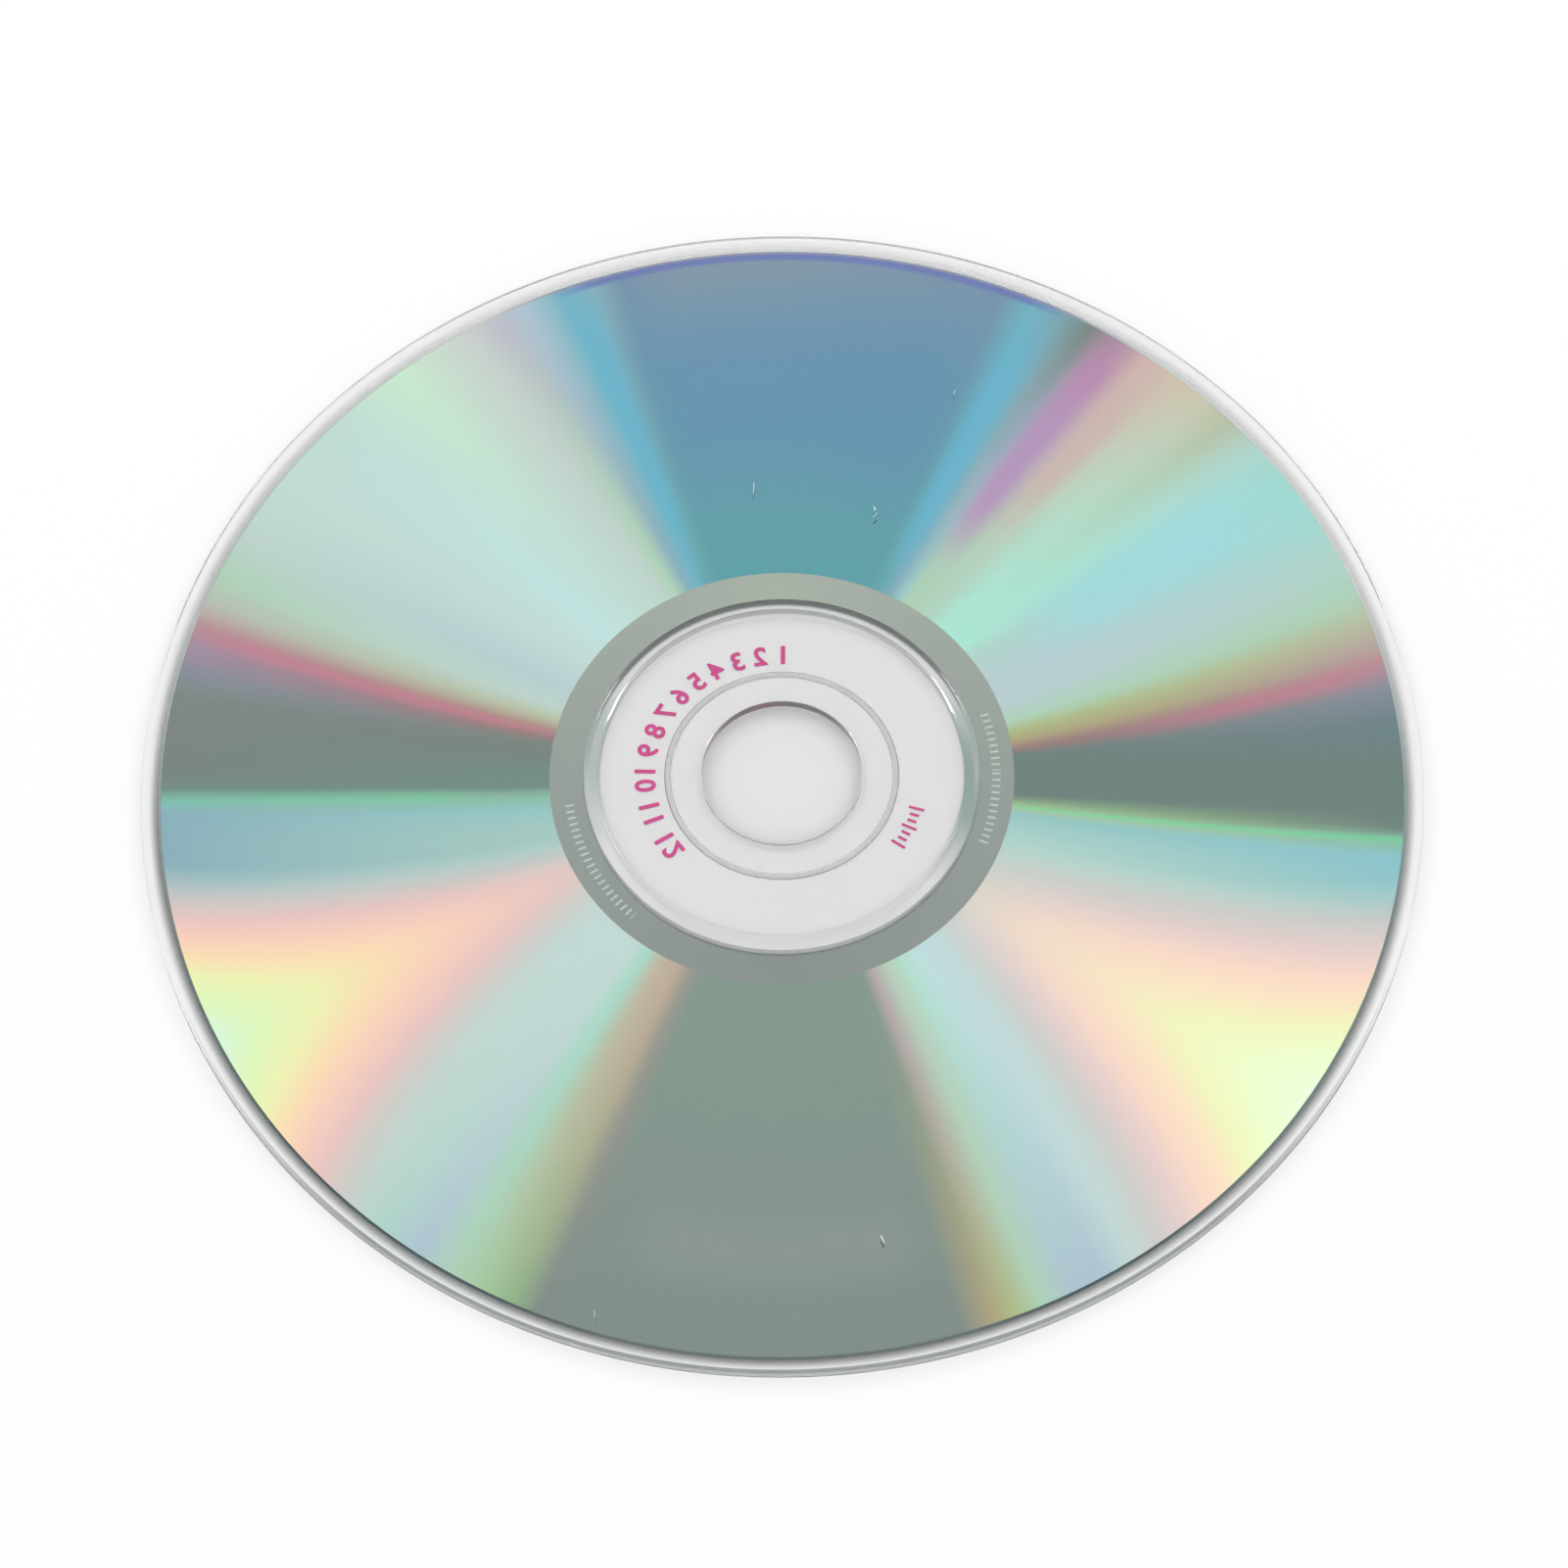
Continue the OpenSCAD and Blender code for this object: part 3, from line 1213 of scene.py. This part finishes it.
@dataclass
class ClearMoulding:
    """The clear moulded disc, with its hub, stacking ring and rim."""

    sizes: DiscSizes

    def section(self) -> list[Point]:
        """Gives the section's corners, from the centre hole out along the label side and back.

        Returns:
            Radius and height of each corner.
        """
        s = self.sizes
        _, coats_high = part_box("lacquer_coat")
        seat = coats_high[2] / MM - s.bite
        return [
            (s.hole, s.hole_bevel),
            (s.hole + s.hole_bevel, 0),
            (s.groove_in, 0),
            (s.groove_in + s.groove_slope, s.groove_depth),
            (s.groove_out - s.groove_slope, s.groove_depth),
            (s.groove_out, 0),
            (s.seat_in, 0),
            (s.seat_in, seat),
            (s.seat_out, seat),
            (s.seat_out, 0),
            (s.outer - s.rim_bevel, 0),
            (s.outer, s.rim_bevel),
            (s.outer, s.thick),
            (s.ring_out, s.thick),
            (s.ring_out - s.ring_slope, s.ring_top),
            (s.ring_in + s.ring_slope, s.ring_top),
            (s.ring_in, s.thick),
            (s.hole + s.hole_bevel, s.thick),
            (s.hole, s.thick - s.hole_bevel),
        ]

    def roundings(self) -> tuple[Rounding, ...]:
        """Gives the roundings of the rim and of the stacking ring's top, on the read side.

        Returns:
            The roundings.
        """
        s = self.sizes
        return (
            Rounding((s.outer, s.thick), s.rim_round, flat_steps=8),
            Rounding((s.ring_out - s.ring_slope, s.ring_top), s.ring_outer_round, flat_steps=10),
            Rounding((s.ring_in + s.ring_slope, s.ring_top), s.ring_inner_round, flat_steps=4),
        )

    def build(self, material: bpy.types.Material) -> bpy.types.Object:
        """Builds the moulding in place of the frame's solid.

        Args:
            material: the clear plastic.

        Returns:
            The piece.
        """
        piece = SpunRing("clear_moulding", self.section(), self.roundings()).build(material)
        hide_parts("substrate")
        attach(piece, "root")
        return piece


@dataclass
class Lacquer:
    """The lacquer over the label side of the mirror coat."""

    sizes: DiscSizes

    def section(self) -> list[Point]:
        """Gives the section's corners: a thin channel that laps over both edges of the mirror coat.

        Returns:
            Radius and height of each corner.
        """
        s = self.sizes
        low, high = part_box("lacquer_coat")
        mirror_low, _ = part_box("reflective_layer")
        face = low[2] / MM
        lap_top = high[2] / MM - 2 * s.bite
        over = mirror_low[2] / MM + s.bite
        return [
            (s.seat_in + s.bite, face),
            (s.seat_out - s.bite, face),
            (s.seat_out - s.bite, lap_top),
            (s.mirror_out - s.bite, lap_top),
            (s.mirror_out - s.bite, over),
            (s.mirror_in + s.bite, over),
            (s.mirror_in + s.bite, lap_top),
            (s.seat_in + s.bite, lap_top),
        ]

    def build(self, material: bpy.types.Material) -> bpy.types.Object:
        """Builds the lacquer in place of the frame's solid.

        Args:
            material: the clear lacquer.

        Returns:
            The piece.
        """
        piece = SpunRing("lacquer", self.section()).build(material)
        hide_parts("lacquer_coat")
        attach(piece, "root")
        return piece


@dataclass
class HubPrint:
    """Plain numbers and ticks, printed on the label side of the hub and seen through it."""

    baseline: float = 11.92
    cap_height: float = 1.96
    # Height of a digit as a share of the type's size
    cap_share: float = 0.73
    curve_steps: int = 4
    first_bearing: float = 88.5
    digit_step: float = 6.7
    space_step: float = 3.15
    count: int = 12
    stroke: float = 0.07
    # Height of the ink, which is a hair inside the label side
    height: float = 0.02
    thickness: float = 0.006
    tick_middle: float = 13.1
    tick_from: float = 325.0
    tick_pitch: float = 3.0
    tick_lengths: tuple[float, ...] = (1.5, 0.9, 0.9, 1.5, 0.9, 0.9, 1.5)
    tick_width: float = 0.26
    # Merging distance, in metres
    weld: float = 1e-7

    def build(self, material: bpy.types.Material) -> list[bpy.types.Object]:
        """Builds the numbers and the ticks.

        Args:
            material: the ink.

        Returns:
            The pieces.
        """
        pieces = [self.numbers(material), self.ticks(material)]
        for piece in pieces:
            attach(piece, "root")
        return pieces

    def numbers(self, material: bpy.types.Material) -> bpy.types.Object:
        """Builds the row of numbers, reversed because they face the label side.

        Args:
            material: the ink.

        Returns:
            The piece.
        """
        mesh = bmesh.new()
        bearing = self.first_bearing
        for number in range(1, self.count + 1):
            for digit in str(number):
                self.add_digit(mesh, digit, bearing)
                bearing += self.digit_step
            bearing += self.space_step
        bmesh.ops.remove_doubles(mesh, verts=mesh.verts, dist=self.weld)
        bmesh.ops.recalc_face_normals(mesh, faces=mesh.faces)
        return finish_mesh("hub_numbers", mesh, material)

    def add_digit(self, mesh: bmesh.types.BMesh, digit: str, bearing: float) -> None:
        """Sets one reversed digit at its place on the hub.

        Args:
            mesh: the numbers so far.
            digit: the digit.
            bearing: the bearing of its middle.
        """
        before = len(mesh.verts)
        flat = self.flat_digit(digit)
        mesh.from_mesh(flat)
        bpy.data.meshes.remove(flat)
        mesh.verts.ensure_lookup_table()
        turn = Matrix.Rotation(math.radians(bearing - 90), 4, "Z")
        outwards = Matrix.Translation((0, self.baseline * MM, self.height * MM))
        place = turn @ outwards @ Matrix.Diagonal((-1, 1, 1, 1))
        bmesh.ops.transform(mesh, matrix=place, verts=mesh.verts[before:])

    def flat_digit(self, digit: str) -> bpy.types.Mesh:
        """Makes one digit's mesh, flat and centred on its baseline.

        Args:
            digit: the digit.

        Returns:
            The mesh, in metres.
        """
        curve = bpy.data.curves.new("digit", type="FONT")
        curve.body = digit
        curve.align_x = "CENTER"
        curve.size = self.cap_height * MM / self.cap_share
        curve.offset = self.stroke * MM
        curve.extrude = self.thickness * MM / 2
        curve.resolution_u = self.curve_steps
        text = bpy.data.objects.new("digit", curve)
        bpy.context.scene.collection.objects.link(text)
        graph = bpy.context.evaluated_depsgraph_get()
        flat = bpy.data.meshes.new_from_object(text.evaluated_get(graph))
        bpy.data.objects.remove(text)
        bpy.data.curves.remove(curve)
        return flat

    def ticks(self, material: bpy.types.Material) -> bpy.types.Object:
        """Builds the short row of ticks.

        Args:
            material: the ink.

        Returns:
            The piece.
        """
        mesh = bmesh.new()
        for index, length in enumerate(self.tick_lengths):
            turn = Matrix.Rotation(math.radians(self.tick_from + index * self.tick_pitch), 4, "Z")
            size = Matrix.Diagonal((length * MM, self.tick_width * MM, self.thickness * MM, 1))
            place = turn @ Matrix.Translation((self.tick_middle * MM, 0, self.height * MM)) @ size
            bmesh.ops.create_cube(mesh, size=1.0, matrix=place)
        return finish_mesh("hub_ticks", mesh, material)


@dataclass(frozen=True)
class Speck:
    """A fibre or a grain on the disc. It points away from the axis, but for its lean in degrees."""

    radius: float
    bearing: float
    length: float
    width: float
    lean: float


@dataclass
class Specks:
    """Dust on the read side, where the photograph shows it."""

    height: float = 1.2
    specks: tuple[Speck, ...] = (
        Speck(29.9, 71.6, 0.55, 0.14, 35),
        Speck(29.2, 71.1, 0.7, 0.09, -20),
        Speck(31.0, 94.0, 1.5, 0.07, -8),
        Speck(48.1, 279.8, 0.9, 0.13, 12),
        Speck(56.8, 252.0, 0.9, 0.06, 20),
        Speck(44.9, 67.0, 0.5, 0.06, 0),
        Speck(16.0, 161.6, 0.2, 0.16, 0),
        Speck(15.35, 188.0, 0.2, 0.16, 0),
    )

    def build(self, material: bpy.types.Material) -> bpy.types.Object:
        """Builds the dust.

        Args:
            material: the dust's finish.

        Returns:
            The piece.
        """
        mesh = bmesh.new()
        for speck in self.specks:
            where = Matrix.Translation(on_circle(speck.radius, speck.bearing, self.height))
            turn = Matrix.Rotation(math.radians(speck.bearing + speck.lean), 4, "Z")
            size = Matrix.Diagonal((speck.length * MM / 2, speck.width * MM / 2, speck.width * MM / 4, 1))
            bmesh.ops.create_icosphere(mesh, subdivisions=2, radius=1.0, matrix=where @ turn @ size)
        for face in mesh.faces:
            face.smooth = True
        piece = finish_mesh("dust_specks", mesh, material)
        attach(piece, "root")
        return piece


@dataclass
class Studio:
    """The camera, the floor, the white surroundings and two soft lamps. Its lengths are in metres."""

    distance: float = 0.48404
    elevation: float = 62.302
    roll: float = -1.123
    # Focal length and sensor width, in millimetres
    lens: float = 118.45
    sensor: float = 36.0
    # Width of the photograph and the place of the disc's origin in it, in pixels
    picture: int = 1601
    origin_at: Point = (798.28, 793.71)
    floor_drop: float = 0.00005
    floor_side: float = 4.0
    # The world's grey at the horizon, and how high up it turns to white, as the height of a direction
    horizon: float = 0.35
    horizon_limits: Point = (0.05, 0.45)
    lamp_distance: float = 0.8
    lamp_elevation: float = 33.0
    lamp_bearings: Point = (55.0, 125.0)
    lamp_side: float = 0.12
    lamp_power: float = 0.5
    reflections: int = 24

    def build(self, patterns: SharedPatterns) -> None:
        """Builds the studio.

        Args:
            patterns: the shared node groups.
        """
        self.camera()
        self.floor(patterns)
        self.surroundings()
        for bearing in self.lamp_bearings:
            self.lamp(bearing)
        bpy.context.scene.view_settings.view_transform = "Standard"
        self.let_light_through()

    def let_light_through(self) -> None:
        """Lets light run on through the clear plastic, in which it is reflected many times."""
        paths = bpy.context.scene.cycles
        paths.max_bounces = self.reflections
        paths.glossy_bounces = self.reflections
        paths.transmission_bounces = self.reflections
        paths.blur_glossy = 0.0

    def camera(self) -> None:
        """Sets the camera where the photograph was taken from."""
        data = bpy.data.cameras.new("camera")
        data.sensor_width = self.sensor
        data.lens = self.lens
        middle = self.picture / 2
        data.shift_x = (middle - self.origin_at[0]) / self.picture
        data.shift_y = (self.origin_at[1] - middle) / self.picture
        data.clip_start = 0.01
        data.clip_end = 10
        camera = bpy.data.objects.new("camera", data)
        bpy.context.scene.collection.objects.link(camera)
        tilt = math.radians(self.elevation)
        camera.matrix_world = (
            Matrix.Translation((0, -self.distance * math.cos(tilt), self.distance * math.sin(tilt)))
            @ Matrix.Rotation(math.pi / 2 - tilt, 4, "X")
            @ Matrix.Rotation(math.radians(self.roll), 4, "Z")
        )
        bpy.context.scene.camera = camera

    def floor(self, patterns: SharedPatterns) -> None:
        """Lays the floor just under the disc.

        Args:
            patterns: the shared node groups.
        """
        mesh = bmesh.new()
        place = Matrix.Translation((0, 0, -self.floor_drop))
        bmesh.ops.create_grid(mesh, x_segments=1, y_segments=1, size=self.floor_side / 2, matrix=place)
        finish_mesh("floor", mesh, StudioFloor("pale_floor").build(patterns))

    def surroundings(self) -> None:
        """Sets the world, white above and darker near the horizon."""
        world = bpy.data.worlds.new("studio")
        world.use_nodes = True
        bpy.context.scene.world = world
        graph = Graph(world.node_tree)
        back = next(node for node in world.node_tree.nodes if node.type == "BACKGROUND")
        parts = graph.node("ShaderNodeSeparateXYZ")
        graph.feed(parts.inputs[0], graph.node("ShaderNodeTexCoord").outputs["Generated"])
        high = graph.between(parts.outputs["Z"], *self.horizon_limits, smooth=True)
        graph.feed(back.inputs["Color"], graph.blend(high, grey(self.horizon), WHITE))
        graph.feed(back.inputs["Strength"], 1.0)

    def lamp(self, bearing: float) -> None:
        """Hangs one soft lamp that faces the disc.

        Args:
            bearing: the lamp's bearing round the disc.
        """
        data = bpy.data.lights.new("soft_lamp", type="AREA")
        data.shape = "SQUARE"
        data.size = self.lamp_side
        data.energy = self.lamp_power
        lamp = bpy.data.objects.new("soft_lamp", data)
        bpy.context.scene.collection.objects.link(lamp)
        turn, tilt = math.radians(bearing), math.radians(self.lamp_elevation)
        away = Vector((math.cos(turn) * math.cos(tilt), math.sin(turn) * math.cos(tilt), math.sin(tilt)))
        facing = away.to_track_quat("Z", "Y").to_matrix().to_4x4()
        lamp.matrix_world = Matrix.Translation(away * self.lamp_distance) @ facing


def dress(node: bpy.types.Object, material: bpy.types.Material) -> None:
    """Gives a node of the frame its finish."""
    for place in node.material_slots:
        place.material = material


def main() -> None:
    """Builds the scene and reports each piece."""
    logging.basicConfig(level=logging.INFO, format="%(message)s")
    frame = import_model()
    patterns = SharedPatterns()
    Studio().build(patterns)
    sizes = DiscSizes.from_frame()

    plastic = ClearPlastic("polished_clear", zones=MOULDING_FROST_AND_PAINTED_SHADE)
    lacquer = ClearPlastic("glossy_lacquer", refraction=1.5, smear=0.03)
    ink = MattSpeckled("hub_ink", linear("FF3AAA"), linear("F0B8D0"), speck_cover=0.3, roughness=0.55)
    dust = MattSpeckled("pale_dust", linear("E8EDEA"), grey(0.5), speck_cover=1.0, roughness=0.8)
    pieces = [
        ClearMoulding(sizes).build(plastic.build(patterns)),
        Lacquer(sizes).build(lacquer.build(patterns)),
        *HubPrint().build(ink.build(patterns)),
        Specks().build(dust.build(patterns)),
    ]
    dress(frame["nodes"]["recording_layer"], GrooveColours("painted_groove_light").build(patterns))
    dress(frame["nodes"]["reflective_layer"], MirrorCoat("mirror_silver").build(patterns))
    for piece in pieces:
        LOG.info("%s: %d faces", piece.name, len(piece.data.polygons))


if __name__ == "__main__":
    main()
